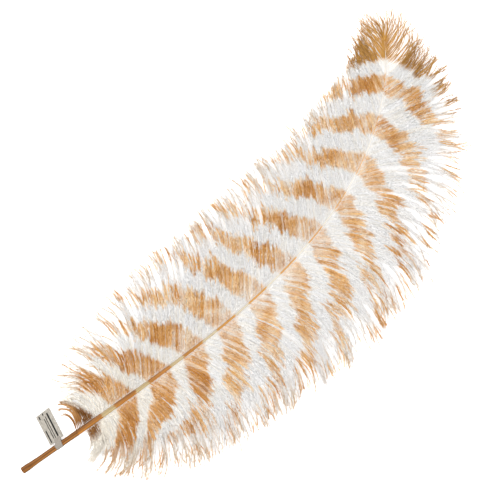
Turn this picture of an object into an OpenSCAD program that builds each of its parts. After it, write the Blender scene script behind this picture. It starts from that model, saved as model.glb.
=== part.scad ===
// Plume pen: a whole ostrich plume with a square-cut quill, and a paper label strapped round the stem.
// Frame: origin at the centre of the cut end, +X along the stem towards the tip, +Y towards the left vane,
// +Z up. The plume lies on the plane z = -cut_end_r.

/* [Quill] */
// Length of the shaft from cut end to tip, along its curve
shaft_len = 590; // [560:5:620]
// How far the shaft has turned at its tip, in degrees
tip_turn = 62; // [40:1:70]
// Length of the bare hollow barrel
barrel_len = 67; // [64:1:72]
// Outer radius at the cut end
cut_end_r = 3.5; // [3.4:0.05:3.8]
// Length of the full-width cut end
cut_end_len = 6; // [5:0.5:8]
// Outer radius of the slim part of the stem
stem_r = 2.875; // [2.8:0.025:3]
// Radius of the open hollow
hollow_r = 2; // [1.8:0.05:2.2]
// Depth of the open hollow
hollow_len = 40; // [30:1:42]

/* [Vane] */
// Number of barb locks on each side
lock_count = 12; // [12:1:12]
// Where the barb locks start along the shaft
vane_start = 92; // [90:1:96]
// Gap between one lock and the next
lock_gap = 0.4; // [0.3:0.1:1]
// How much shorter a lock's edge barbs are than its middle ones
lock_notch = 0.08; // [0:0.01:0.15]
// Half thickness of the vane in its middle
vane_half_thick = 2.6; // [2:0.1:3]
// Height of the vane's arch over the table
vane_arch = 3; // [1:0.1:4]

/* [Label] */
// Where the strap's middle sits along the stem
strap_x = 44.5; // [40:0.5:46]
// Width of the strap
strap_w = 7.5; // [6:0.5:9]
// Thickness of one layer of strap
strap_thick = 0.15; // [0.12:0.01:0.2]
// Running clearance of the strap's layers
strap_clear = 0.06; // [0.05:0.01:0.09]
// Width of the label card
card_w = 16.5; // [14:0.5:18]
// Height of the label card
card_h = 32; // [28:0.5:36]
// Thickness of the label card
card_thick = 0.35; // [0.2:0.05:0.5]
// Lean of the card towards the tip, in degrees
card_lean = 7; // [0:1:10]
// How much farther out the card's edge nearer the tip is cut than its other edge
card_skew = 3; // [0:0.5:4]
// Droop of the card towards the table, in degrees
card_droop = 5; // [4:0.5:5.5]

/* [Hidden] */

$fn = 64;
LEFT = 1;
RIGHT = -1;
eps = 0.01;

horn = [0.62, 0.42, 0.20];
horn_light = [0.86, 0.76, 0.56];
membrane = [0.90, 0.86, 0.76];
down_brown = [0.55, 0.38, 0.22];
dyed = [0.80, 0.60, 0.38];
undyed = [0.93, 0.91, 0.87];
card_grey = [0.78, 0.76, 0.72];
strap_grey = [0.72, 0.70, 0.68];

// Taper of the barrel behind its cut end: distance past the full-width end, and share of the flare left.
flare_steps = [[0, 1], [2, 0.8], [6, 0.4], [10, 0.2], [14, 0]];
// The barrel widens again where it becomes the rachis.
neck_start = 57;
neck_end = 62;
neck_r = 3;
// The narrow inner end of the hollow, which holds the dried pulp membranes.
pulp_r = 1.8;
pulp_end = 58;
cap_count = 4;
cap_thick = 0.15;
cap_pitch = 4;

// Rachis half width and half height along the shaft.
rachis_half_w = [
    [67, 2.9], [110, 2.55], [150, 2.1], [200, 1.6], [260, 1.1],
    [330, 0.8], [400, 0.6], [480, 0.45], [590, 0.3]
];
rachis_half_h = [[67, 2.9], [110, 2.6], [200, 2.0], [300, 1.5], [400, 1.1], [480, 0.75], [590, 0.35]];
// Cross-section of the rachis, as shares of half width and half height. The upper side has a groove.
section_top = [[1, 0.3], [0.72, 0.85], [0.34, 0.98], [0, 0.72], [-0.34, 0.98], [-0.72, 0.85], [-1, 0.3]];
section_under = [[-1, -0.3], [-0.72, -0.85], [-0.34, -1], [0, -1], [0.34, -1], [0.72, -0.85], [1, -0.3]];
pith_share = 0.66;
pith_play = 0.98;
pith_end = 440;
rachis_rings = 44;

// Barbs along the shaft: place of the root, length, angle off the shaft at the root, angle at the tip, and
// how late along the barb the turn from one to the other comes.
left_barbs = [
    [67, 31, 62, 142, 1], [76, 38, 60, 150, 1], [92, 64, 62, 152, 1], [110, 80, 58, 138, 1.2],
    [130, 92, 56, 112, 1.4], [155, 104, 54, 94, 1.8], [200, 114, 50, 86, 2.4], [280, 118, 48, 86, 2.6],
    [340, 107, 47, 84, 2.6], [385, 99, 46, 70, 2.4], [425, 93, 46, 48, 2], [460, 87, 46, 30, 1.5],
    [500, 75, 36, 28, 1], [540, 58, 32, 36, 1], [590, 34, 36, 38, 1]
];
right_barbs = [
    [76, 36, 80, 172, 1], [92, 61, 74, 165, 1], [110, 78, 70, 145, 1], [155, 99, 64, 120, 1.2],
    [202, 109, 60, 116, 1.5], [263, 116, 56, 118, 1.6], [303, 119, 52, 122, 1.5], [353, 121, 46, 122, 1.1],
    [403, 118, 44, 112, 1], [440, 110, 44, 96, 1.2], [475, 97, 47, 72, 1.6], [505, 82, 50, 38, 1.3],
    [530, 68, 54, 16, 1], [560, 51, 56, 6, 1], [590, 33, 42, 0, 1]
];
left_tuft_start = 67;
right_tuft_start = 76;
barb_steps = 12;
lock_rows = 7;
tuft_rows = 5;
// Vane heights over the shaft's axis: at the root, and how far the margin has come down.
root_mid = 0.15;
margin_drop = 2.65;
root_half_thick = 1.4;
margin_half_thick = 1;
root_play = 0.1;

lock_pitch = (shaft_len - vane_start) / lock_count;

// ---- Shaft line ----

spine_step = 5;
spine_count = ceil(shaft_len / spine_step);

function heading(s) = tip_turn * pow(s / shaft_len, 3);

function step_from(i) =
    let (a = heading((i + 0.5) * spine_step))
    spine_step * [cos(a), sin(a)];

spine_points = [for (i = 0, p = [0, 0]; i <= spine_count; p = p + step_from(i), i = i + 1) p];

function spine(s) =
    let (t = s / spine_step, i = min(floor(t), spine_count - 1))
    spine_points[i] + (t - i) * (spine_points[i + 1] - spine_points[i]);

function left_of(s) = [-sin(heading(s)), cos(heading(s))];

// ---- Closed skins ----

// Faces of a closed skin over equal rings, each ring running out along its top and back along its underside.
function skin_faces(rows, size) = concat(
    [for (i = [0 : rows - 2], j = [0 : size - 1])
        let (k = (j + 1) % size)
        each [
            [i * size + j, i * size + k, (i + 1) * size + k],
            [i * size + j, (i + 1) * size + k, (i + 1) * size + j]
        ]],
    [for (j = [0 : size / 2 - 2])
        let (a = j, b = j + 1, c = size - 2 - j, d = size - 1 - j)
        each [[a, c, b], [a, d, c]]],
    [for (j = [0 : size / 2 - 2])
        let (o = (rows - 1) * size, a = o + j, b = o + j + 1, c = o + size - 2 - j, d = o + size - 1 - j)
        each [[a, b, c], [a, c, d]]]
);

function turned(face) = [face[2], face[1], face[0]];

module skin(rings, flip = false) {
    faces = skin_faces(len(rings), len(rings[0]));
    polyhedron(
        points = [for (ring = rings) each ring],
        faces = flip ? [for (f = faces) turned(f)] : faces,
        convexity = 6
    );
}

// ---- Shaft ----

module barrel_outline() {
    flare = cut_end_r - stem_r;
    polygon(concat(
        [[0, 0], [cut_end_r, 0]],
        [for (step = flare_steps) [stem_r + flare * step[1], cut_end_len + step[0]]],
        [[stem_r, neck_start], [neck_r, neck_end], [neck_r, barrel_len], [0, barrel_len]]
    ));
}

module calamus() {
    color(horn)
    rotate([0, 90, 0])
    difference() {
        rotate_extrude() barrel_outline();
        translate([0, 0, -1]) cylinder(r = hollow_r, h = hollow_len + 1);
        cylinder(r = pulp_r, h = pulp_end);
    }
}

module pulp_cap() {
    rotate_extrude()
    polygon(concat(
        [for (a = [0 : 15 : 90]) (pulp_r - eps) * [cos(a), sin(a)]],
        [for (a = [90 : -15 : 0]) (pulp_r - eps - cap_thick) * [cos(a), sin(a)]]
    ));
}

module pulp_caps() {
    color(membrane)
    for (i = [0 : cap_count - 1])
        translate([hollow_len + 2 + i * cap_pitch, 0, 0]) rotate([0, 90, 0]) pulp_cap();
}

function section_ring(s, share) =
    let (
        w = lookup(s, rachis_half_w) * share,
        h = lookup(s, rachis_half_h) * share,
        c = spine(s),
        n = left_of(s)
    )
    [for (q = concat(section_top, section_under))
        let (p = c + n * w * q[0])
        [p[0], p[1], h * q[1]]];

function shaft_rings(from, to, count, share) =
    [for (i = [0 : count]) section_ring(from + (to - from) * i / count, share)];

// One skin that comes back from the tip over the outside, turns in at the base and lines the core's room.
module rachis() {
    outside = shaft_rings(barrel_len, shaft_len, rachis_rings, 1);
    inside = shaft_rings(barrel_len, pith_end, rachis_rings, pith_share);
    color(horn_light) skin(concat([for (i = [rachis_rings : -1 : 0]) outside[i]], inside), true);
}

module pith() {
    color(undyed) skin(shaft_rings(barrel_len + eps, pith_end - 1, rachis_rings, pith_share * pith_play));
}

// ---- Vane ----

function column(table, s, c) = lookup(s, [for (row = table) [row[0], row[c]]]);

// How far a barb has turned from its root angle to its tip angle, at a share of its length.
function turn_at(from, to, late, share) = from + (to - from) * pow(share, late);

// One barb seen from above: points from its root outwards, for a length, a root angle and a tip angle.
function barb_line(root, base, length, from, to, late) =
    [for (k = 0, p = root; k <= barb_steps;
        p = p + length / barb_steps * (let (a = base + turn_at(from, to, late, (k + 0.5) / barb_steps))
            [cos(a), sin(a)]),
        k = k + 1) p];

function root_point(side, s) = spine(s) + side * left_of(s) * (lookup(s, rachis_half_w) + root_play);

function barb_at(side, s, share) =
    let (table = side == LEFT ? left_barbs : right_barbs)
    barb_line(root_point(side, s), heading(s), column(table, s, 1) * share,
        side * column(table, s, 2), side * column(table, s, 3), column(table, s, 4));

function vane_mid(u) = root_mid + 4 * vane_arch * u * (1 - u) - margin_drop * u * u;
function vane_half(u) =
    root_half_thick * (1 - u) * (1 - u) + margin_half_thick * u * u + 2 * (2 * vane_half_thick
        - (root_half_thick + margin_half_thick) / 2) * u * (1 - u);

// Ring of a barb: out along the upper side and back along the lower side.
function barb_ring(line) = concat(
    [for (k = [0 : barb_steps])
        let (u = k / barb_steps)
        [line[k][0], line[k][1], vane_mid(u) + vane_half(u)]],
    [for (k = [barb_steps : -1 : 0])
        let (u = k / barb_steps)
        [line[k][0], line[k][1], vane_mid(u) - vane_half(u)]]
);

module lock(side, from, to, rows) {
    rings = [for (i = [0 : rows - 1])
        let (v = i / (rows - 1), s = from + (to - from) * v)
        barb_ring(barb_at(side, s, 1 - lock_notch * pow(2 * v - 1, 2)))];
    skin(rings, side == LEFT);
}

module barb_lock(side, i) {
    start = vane_start + (i - 1) * lock_pitch;
    color(i % 2 == 0 ? undyed : dyed)
        lock(side, start + lock_gap / 2, start + lock_pitch - lock_gap / 2, lock_rows);
}

module left_tuft() {
    color(down_brown) lock(LEFT, left_tuft_start, vane_start - lock_gap / 2, tuft_rows);
}

module right_tuft() {
    color(down_brown) lock(RIGHT, right_tuft_start, vane_start - lock_gap / 2, tuft_rows);
}

// The fan of barbs that goes on from the end of the shaft, between the last left and right barbs.
module tip_barbs() {
    root_left = root_point(LEFT, shaft_len);
    root_right = root_point(RIGHT, shaft_len);
    ahead = [cos(heading(shaft_len)), sin(heading(shaft_len))] * lock_gap;
    share = 1 - lock_notch;
    lines = [for (v = [0 : 0.25 : 1])
        barb_line(ahead + root_left + (root_right - root_left) * v, heading(shaft_len),
            share * (column(left_barbs, shaft_len, 1) * (1 - v) + column(right_barbs, shaft_len, 1) * v),
            column(left_barbs, shaft_len, 2) * (1 - v) - column(right_barbs, shaft_len, 2) * v,
            column(left_barbs, shaft_len, 3) * (1 - v) - column(right_barbs, shaft_len, 3) * v, 1)];
    color(dyed) skin([for (line = lines) barb_ring(line)], true);
}

// ---- Label ----

inner_turn_r = stem_r + strap_clear;
loop_r = inner_turn_r + strap_thick + strap_clear;
loop_out_r = loop_r + strap_thick;
tail_mid_r = loop_r + strap_thick / 2;
card_centre = [strap_x + 2.9, 21];
// Where the two tails of the strap meet the card.
tail_reach = 6;
tail_overlap = 1.5;
tail_offset = card_thick / 2 + strap_thick / 2 + eps;
tail_tangent = acos(tail_mid_r / norm([tail_reach, tail_offset])) + atan2(tail_offset, tail_reach);

module along_stem(length) {
    translate([strap_x - length / 2, 0, 0]) rotate([90, 0, 90]) linear_extrude(height = length) children();
}

module strap_inner_turn() {
    color(strap_grey)
    along_stem(strap_w)
    difference() {
        circle(r = inner_turn_r + strap_thick);
        circle(r = inner_turn_r);
    }
}

// A straight stretch of strap between two points of its cross-section.
module strap_run(from, to) {
    run = to - from;
    side = [-run[1], run[0]] / norm(run) * strap_thick / 2;
    polygon([from - side, to - side, to + side, from + side]);
}

module tail_section(up) {
    touch = tail_mid_r * [cos(tail_tangent), up * sin(tail_tangent)];
    meet = [tail_reach, up * tail_offset];
    strap_run(touch, meet);
    strap_run(meet - [strap_thick / 2, 0], meet + [tail_overlap, 0]);
}

module strap_loop() {
    color(strap_grey)
    rotate([-card_droop, 0, 0])
    along_stem(strap_w)
    difference() {
        union() {
            circle(r = loop_out_r);
            tail_section(1);
            tail_section(-1);
        }
        circle(r = loop_r);
    }
}

module label_card() {
    color(card_grey)
    rotate([-card_droop, 0, 0])
    translate([card_centre[0], card_centre[1], 0])
    rotate([0, 0, -card_lean])
    linear_extrude(height = card_thick, center = true)
    polygon([for (side = [-1, 1], end = [-side, side])
        [side * card_w / 2, end * card_h / 2 + side * card_skew / 2]]);
}

// ---- Assembly ----

calamus();
pulp_caps();
rachis();
pith();
strap_inner_turn();
strap_loop();
label_card();
left_tuft();
right_tuft();
tip_barbs();
barb_lock(LEFT, 1);  // left_barbs_01
barb_lock(LEFT, 2);  // left_barbs_02
barb_lock(LEFT, 3);  // left_barbs_03
barb_lock(LEFT, 4);  // left_barbs_04
barb_lock(LEFT, 5);  // left_barbs_05
barb_lock(LEFT, 6);  // left_barbs_06
barb_lock(LEFT, 7);  // left_barbs_07
barb_lock(LEFT, 8);  // left_barbs_08
barb_lock(LEFT, 9);  // left_barbs_09
barb_lock(LEFT, 10);  // left_barbs_10
barb_lock(LEFT, 11);  // left_barbs_11
barb_lock(LEFT, 12);  // left_barbs_12
barb_lock(RIGHT, 1);  // right_barbs_01
barb_lock(RIGHT, 2);  // right_barbs_02
barb_lock(RIGHT, 3);  // right_barbs_03
barb_lock(RIGHT, 4);  // right_barbs_04
barb_lock(RIGHT, 5);  // right_barbs_05
barb_lock(RIGHT, 6);  // right_barbs_06
barb_lock(RIGHT, 7);  // right_barbs_07
barb_lock(RIGHT, 8);  // right_barbs_08
barb_lock(RIGHT, 9);  // right_barbs_09
barb_lock(RIGHT, 10);  // right_barbs_10
barb_lock(RIGHT, 11);  // right_barbs_11
barb_lock(RIGHT, 12);  // right_barbs_12
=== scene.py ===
import math

import bpy
import numpy as np
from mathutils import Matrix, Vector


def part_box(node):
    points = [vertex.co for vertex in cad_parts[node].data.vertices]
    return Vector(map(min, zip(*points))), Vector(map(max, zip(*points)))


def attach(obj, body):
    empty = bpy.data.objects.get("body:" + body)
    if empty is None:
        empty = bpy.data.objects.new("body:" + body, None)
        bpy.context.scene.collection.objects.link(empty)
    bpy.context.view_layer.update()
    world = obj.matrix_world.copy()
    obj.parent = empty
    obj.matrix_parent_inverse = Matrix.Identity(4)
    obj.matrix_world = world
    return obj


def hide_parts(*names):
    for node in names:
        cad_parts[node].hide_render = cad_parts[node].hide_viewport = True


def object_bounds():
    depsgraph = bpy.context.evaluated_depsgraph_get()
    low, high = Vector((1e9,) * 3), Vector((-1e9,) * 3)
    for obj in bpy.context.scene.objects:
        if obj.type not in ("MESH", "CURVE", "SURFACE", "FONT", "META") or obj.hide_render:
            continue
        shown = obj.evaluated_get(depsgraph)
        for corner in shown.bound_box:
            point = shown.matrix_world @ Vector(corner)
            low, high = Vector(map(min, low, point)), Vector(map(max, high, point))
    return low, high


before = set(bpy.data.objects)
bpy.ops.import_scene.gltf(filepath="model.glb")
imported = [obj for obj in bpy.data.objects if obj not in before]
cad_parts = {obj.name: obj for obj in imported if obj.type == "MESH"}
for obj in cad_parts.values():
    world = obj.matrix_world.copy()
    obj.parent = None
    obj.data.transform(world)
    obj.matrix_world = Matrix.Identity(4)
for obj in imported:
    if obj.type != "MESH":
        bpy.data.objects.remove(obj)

CAD_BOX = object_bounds()
MM = 0.001
LEFT, RIGHT = 1, -1

# ---- Driving dimensions, in millimetres and degrees ----

# The shaft, the locks and the barb table are the same as the CAD model's.

SHAFT_LEN = 590.0
TIP_TURN = 62.0
VANE_START = 92.0
LOCK_COUNT = 12
LOCK_PITCH = (SHAFT_LEN - VANE_START) / LOCK_COUNT
TUFT_START = {LEFT: 67.0, RIGHT: 76.0}
TUFT_STRANDS = 76.0
BARREL_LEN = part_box("calamus")[1].x / MM
CUT_END_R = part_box("calamus")[1].z / MM
FLOOR_Z = CAD_BOX[0].z / MM

# Half width and half height of the shaft past the barrel, along it.
RACHIS_HALF_W = [
    (67, 2.9), (110, 2.55), (150, 2.1), (200, 1.6), (260, 1.1), (330, 0.8), (400, 0.6), (480, 0.45),
    (590, 0.3),
]
RACHIS_HALF_H = [(67, 2.9), (110, 2.6), (200, 2.0), (300, 1.5), (400, 1.1), (480, 0.75), (590, 0.35)]

# Barbs along the shaft: place of the root, length, angle off the shaft at the root, angle at the tip, and
# how late along the barb the turn from one to the other comes.
BARBS = {
    LEFT: [
        (67, 31, 62, 142, 1.0), (76, 38, 60, 150, 1.0), (92, 64, 62, 152, 1.0), (110, 80, 58, 138, 1.2),
        (130, 92, 56, 112, 1.4), (155, 104, 54, 94, 1.8), (200, 114, 50, 86, 2.4), (280, 118, 48, 86, 2.6),
        (340, 107, 47, 84, 2.6), (385, 99, 46, 70, 2.4), (425, 93, 46, 48, 2.0), (460, 87, 46, 30, 1.5),
        (500, 75, 36, 28, 1.0), (540, 58, 32, 36, 1.0), (590, 34, 36, 38, 1.0),
    ],
    RIGHT: [
        (76, 36, 80, 172, 1.0), (92, 61, 74, 165, 1.0), (110, 78, 70, 145, 1.0), (155, 99, 64, 120, 1.2),
        (202, 109, 60, 116, 1.5), (263, 116, 56, 118, 1.6), (303, 119, 52, 122, 1.5),
        (353, 121, 46, 122, 1.1), (403, 118, 44, 112, 1.0), (440, 110, 44, 96, 1.2), (475, 97, 47, 72, 1.6),
        (505, 82, 50, 38, 1.3), (530, 68, 54, 16, 1.0), (560, 51, 56, 6, 1.0), (590, 33, 42, 0, 1.0),
    ],
}

# The left tuft's separate strands, in the same five numbers, with the barbs in each and the gap between them.
STRANDS = [
    (67.6, 25, 66, 178, 2.2), (69.4, 35, 62, 184, 2.0), (71.2, 38, 64, 168, 2.2), (73.0, 34, 64, 150, 2.8),
    (74.8, 36, 68, 128, 2.2),
]
TUFT_BARBS = 7
TUFT_GAP = 0.27
TIP_BARBS = 26

# Dyed bands across the vane: first centre, pitch, width at the base and at the tip, and the gold tip's start.
BAND_FIRST = 126.0
BAND_PITCH = 42.0
BAND_WIDE = 26.0
BAND_NARROW = 19.0
GOLD_TIP = 571.0

# Barbs: gap between neighbours, points along each, share of strays, and how much longer a stray grows.
BARB_SPACING = 0.6
BARB_POINTS = 26
STRAY_SHARE = 0.12
STRAY_STRETCH = (1.03, 1.11)

# How far lengths differ, slowly along the shaft and from barb to barb, then the share and the length of the
# tufts' short barbs and of the barbs that are cropped at the vane's base.
LENGTH_WANDER = 0.045
LENGTH_SPREAD = 0.05
SHORT_SHARE = 0.5
SHORT_LENGTH = 0.55
CROPPED_SHARE = 0.55
CROPPED_LENGTH = (0.5, 0.95)

# Waves in a barb, in degrees: a stray's, any other's, what the tip adds, and how many there are. Then a finer
# ripple, with its pitch.
STRAY_CURL = 30.0
CURL = 13.0
TIP_CURL = 11.0
CURL_WAVES = 1.3
RIPPLE = 7
RIPPLE_PITCH = 26

# Clumps of barbs: how many barbs, how strong the pull, from and to where along them, and how high they lift.
# Then how high single barbs lift.
CLUMPS = [(3, (0.1, 0.8), 0.15, 0.75, 0.08), (12, (0.0, 0.07), 0.5, 0.95, 0.05)]
BARB_LIFT = 0.22

# Barb radius at the root, how much more a thin one has, and what is left at its end.
BARB_R = 0.15
BARB_EXTRA_R = 0.2
BARB_END_R = 0.02

# The vane's arch over the table at mid barb, how far the ends sink, and how low barbs and barbules may lie.
VANE_ARCH = 3.2
END_SINK = 2.2
BARB_GROUND = FLOOR_Z + 0.35
BARBULE_GROUND = FLOOR_Z + 0.1

# Barbules: how many, how they crowd towards the barb's end, their roll about the barb, half thickness, reach
# at the ends and how much more at mid barb, and the angles off the barb, mean and spread, if close or loose.
BARBULES_PER_MM = 6.0
BARBULES_AT_MOST = 43000
BARBULE_CROWDING = 0.77
BARBULE_ROLL = 0.55
BARBULE_HALF_THICK = (0.045, 0.078)
BARBULE_REACH = 4.0
MORE_REACH = 2.2
REACH_SPREAD = (0.6, 1.25)
CLOSE_ANGLE = (11, 4)
LOOSE_ANGLE = (26, 9)

# How the two sides differ: depth of the dark spots in the bands, how far the dye fades at the margin and at
# the base, how far the brown down reaches off the shaft, and how much tan the barbs' ends hold at the base.
SPOT_DEPTH = {LEFT: 1.3, RIGHT: 0.6}
MARGIN_FADE = {LEFT: 0.3, RIGHT: 0.22}
BASE_FADE = {LEFT: 0.9, RIGHT: 0.6}
DOWN_REACH = {LEFT: 40.0, RIGHT: 15.0}
END_TAN = {LEFT: 0.3, RIGHT: 0.5}
PALE_SHARE = 0.1
FAINT_MOST = 0.92

# Tone of a barb: middle and spread, the spread among its barbules, how much lower loose ones are, and how
# much higher its tube and the right tuft are. A higher tone is deeper in the bands and lighter in the down.
TONE_MIDDLE = 0.55
TONE_SPREAD = 0.28
LEAF_SPREAD = 0.22
LOOSE_LOWER = 0.4
TUBE_HIGHER = 0.25
TUFT_HIGHER = 0.35

# Dark spots within the bands: how far off the shaft, how wide, and how slowly they come and go along it. Then
# the one near the tip: its strength, place along the dye and off the shaft, and size both ways.
SPOT_OFF = 32
SPOT_WIDTH = 11
SPOT_PITCH = 21
TIP_SPOT = (1.6, 547, 20, 16, 13)


# ---- Shaft line ----

def heading(s):
    """The shaft's direction in radians, at a distance along it."""
    return np.radians(TIP_TURN * (np.asarray(s, float) / SHAFT_LEN) ** 3)


LINE_STEP = 0.5
RUN_ON = 60.0
_steps = np.arange(0.0, SHAFT_LEN + RUN_ON, LINE_STEP)
_mid = heading(np.minimum(_steps + LINE_STEP / 2, SHAFT_LEN))
_line_x = np.concatenate([[0.0], np.cumsum(np.cos(_mid)) * LINE_STEP])[:-1]
_line_y = np.concatenate([[0.0], np.cumsum(np.sin(_mid)) * LINE_STEP])[:-1]


def spine(s):
    """Points of the shaft's axis, with a straight run-on past its tip."""
    return np.stack([np.interp(s, _steps, _line_x), np.interp(s, _steps, _line_y)], -1)


def shaft_place(points, s):
    """Where points lie beside the shaft: distance along it and distance off it, starting from a guess s."""
    for _ in range(5):
        h = heading(np.clip(s, 0, SHAFT_LEN))
        gap = points - spine(s)
        s = np.clip(s + gap[..., 0] * np.cos(h) + gap[..., 1] * np.sin(h), 0, SHAFT_LEN + 55)
    h = heading(np.clip(s, 0, SHAFT_LEN))
    gap = points - spine(s)
    return s, -gap[..., 0] * np.sin(h) + gap[..., 1] * np.cos(h)


def table(rows, s, column=1):
    """A column of a table, read at s by straight lines from row to row."""
    rows = np.array(rows, float)
    return np.interp(s, rows[:, 0], rows[:, column])


def smooth(x, low, high):
    """0 up to low and 1 from high on, with an even step between."""
    t = np.clip((x - low) / (high - low), 0, 1)
    return t * t * (3 - 2 * t)


def wander(s, pitch, seed):
    """Smooth random values along s, about -1 to 1, that change over a distance of pitch."""
    knots = np.random.default_rng(seed).normal(0, 0.6, int(700 / pitch) + 4)
    t = np.asarray(s, float) / pitch
    i = np.clip(t.astype(int), 0, len(knots) - 2)
    f = t - i
    f = f * f * (3 - 2 * f)
    return knots[i] * (1 - f) + knots[i + 1] * f


# ---- Mesh building ----

def make_piece(name, points, triangles, material, attributes=None, uv=None):
    """A mesh object from points in millimetres. attributes have one number per point, uv one pair each."""
    mesh = bpy.data.meshes.new(name)
    mesh.vertices.add(len(points))
    mesh.vertices.foreach_set("co", (points * MM).astype(np.float32).ravel())
    mesh.loops.add(len(triangles) * 3)
    mesh.loops.foreach_set("vertex_index", triangles.astype(np.int32).ravel())
    mesh.polygons.add(len(triangles))
    mesh.polygons.foreach_set("loop_start", np.arange(0, len(triangles) * 3, 3, dtype=np.int32))
    mesh.polygons.foreach_set("use_smooth", np.full(len(triangles), True))
    mesh.update(calc_edges=True)
    for key, values in (attributes or {}).items():
        layer = mesh.attributes.new(key, "FLOAT", "POINT")
        layer.data.foreach_set("value", np.asarray(values, np.float32))
    if uv is not None:
        layer = mesh.uv_layers.new(name="OFBake")
        layer.data.foreach_set("uv", uv[triangles.ravel()].astype(np.float32).ravel())
    mesh.materials.append(material)
    piece = bpy.data.objects.new(name, mesh)
    bpy.context.scene.collection.objects.link(piece)
    return piece


def grid_triangles(rows, columns, closed):
    """Triangles over a grid of points, whose columns go all the way round if closed."""
    r, c = np.meshgrid(np.arange(rows - 1), np.arange(columns if closed else columns - 1), indexing="ij")
    r, c = r.ravel(), c.ravel()
    n = (c + 1) % columns
    a, b = r * columns + c, r * columns + n
    d, e = (r + 1) * columns + c, (r + 1) * columns + n
    return np.concatenate([np.stack([a, b, e], 1), np.stack([a, e, d], 1)])


def fan_triangles(ring, flip=False):
    """Triangles that close a ring of points, from its first point."""
    ring = np.asarray(ring)
    faces = np.stack([np.full(len(ring) - 2, ring[0]), ring[2:], ring[1:-1]], 1)
    return faces[:, ::-1] if flip else faces


# ---- Materials ----

def new_material(name, roughness, **inputs):
    material = bpy.data.materials.new(name)
    material.use_nodes = True
    shader = material.node_tree.nodes["Principled BSDF"]
    shader.inputs["Roughness"].default_value = roughness
    for key, value in inputs.items():
        shader.inputs[key.replace("_", " ")].default_value = value
    return material, material.node_tree, shader


class Nodes:
    """Short calls that add nodes to a material's tree. An input is a socket or a plain value."""

    def __init__(self, tree):
        self.tree = tree

    def add(self, kind, inputs, output=0, **settings):
        node = self.tree.nodes.new(kind)
        for key, value in settings.items():
            setattr(node, key, value)
        for key, value in inputs.items():
            if isinstance(value, bpy.types.NodeSocket):
                self.tree.links.new(value, node.inputs[key])
            else:
                node.inputs[key].default_value = value
        return node.outputs[output]

    def attribute(self, name):
        return self.add("ShaderNodeAttribute", {}, "Fac", attribute_name=name)

    def math(self, operation, a, b=0.0):
        return self.add("ShaderNodeMath", {0: a, 1: b}, operation=operation)

    def ramp(self, value, low, high, to_low=0.0, to_high=1.0):
        inputs = {"Value": value, "From Min": low, "From Max": high, "To Min": to_low, "To Max": to_high}
        return self.add("ShaderNodeMapRange", inputs, interpolation_type="SMOOTHSTEP")

    def mix(self, factor, a, b):
        node = self.tree.nodes.new("ShaderNodeMix")
        node.data_type = "RGBA"
        for socket, value in ((node.inputs[0], factor), (node.inputs[6], a), (node.inputs[7], b)):
            if isinstance(value, bpy.types.NodeSocket):
                self.tree.links.new(value, socket)
            else:
                socket.default_value = value
        return node.outputs[2]

    def noise(self, scale, detail=3.0, stretch=(1, 1, 1)):
        where = self.add("ShaderNodeTexCoord", {}, "Object")
        spread = self.add("ShaderNodeMapping", {"Vector": where, "Scale": stretch})
        return self.add("ShaderNodeTexNoise", {"Vector": spread, "Scale": scale, "Detail": detail}, "Fac")


def colour(red, green, blue):
    """A colour given as eye values from 0 to 255, as the linear values that a socket holds."""
    def linear(v):
        v /= 255
        return v / 12.92 if v <= 0.04045 else ((v + 0.055) / 1.055) ** 2.4
    return (linear(red), linear(green), linear(blue), 1.0)


WHITE_COOL = colour(237, 237, 238)
WHITE_WARM = colour(239, 233, 222)
# Painted shade: the whites grey slightly towards the margin.
WHITE_PAINTED_SHADE = colour(237, 236, 236)
TAN = colour(208, 176, 130)
CARAMEL_PALE = colour(240, 211, 167)
CARAMEL = colour(219, 168, 103)
CARAMEL_DEEP = colour(190, 132, 70)
DOWN_DARK = colour(126, 82, 40)
DOWN_LIGHT = colour(178, 135, 88)
GOLD = colour(200, 156, 86)
GOLD_DEEP = colour(154, 106, 48)
HORN = colour(150, 102, 57)
HORN_DARK = colour(122, 80, 42)
HORN_GREY = colour(76, 48, 24)
# Painted highlight for the lit side of the barrel and shaft.
HORN_HIGHLIGHT = colour(182, 120, 42)
# Painted shade for the edges of the barrel and shaft and for the barrel's groove.
HORN_SHADE = colour(74, 44, 18)
HORN_FADED = colour(184, 138, 74)
HORN_END = colour(204, 166, 118)
HORN_INSIDE = colour(170, 138, 98)
CREAM = colour(164, 147, 113)
CREAM_DEEP = colour(148, 130, 97)
# Painted highlight for the lit side of the cream shaft.
CREAM_HIGHLIGHT = colour(170, 150, 106)
CREAM_FADED = colour(202, 197, 184)
CREAM_END = colour(216, 212, 204)
PAPER = colour(138, 133, 125)
PAPER_PALE = colour(168, 163, 154)
PAPER_FLECK = colour(84, 80, 74)
PRINT = colour(20, 20, 20)
STRAP = colour(124, 118, 111)
STRAP_PALE = colour(142, 136, 128)


def nearest_band(n, place):
    """The distance from a place along the plume to the nearest dyed band's middle, and its half width."""
    first_edge = BAND_FIRST - BAND_PITCH / 2
    turns = n.math("DIVIDE", n.math("SUBTRACT", place, first_edge), BAND_PITCH)
    phase = n.math("SUBTRACT", n.math("FRACT", turns), 0.5)
    distance = n.math("MULTIPLY", n.math("ABSOLUTE", phase), BAND_PITCH)
    half = n.ramp(place, BAND_FIRST, SHAFT_LEN, BAND_WIDE / 2, BAND_NARROW / 2)
    return distance, half


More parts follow.
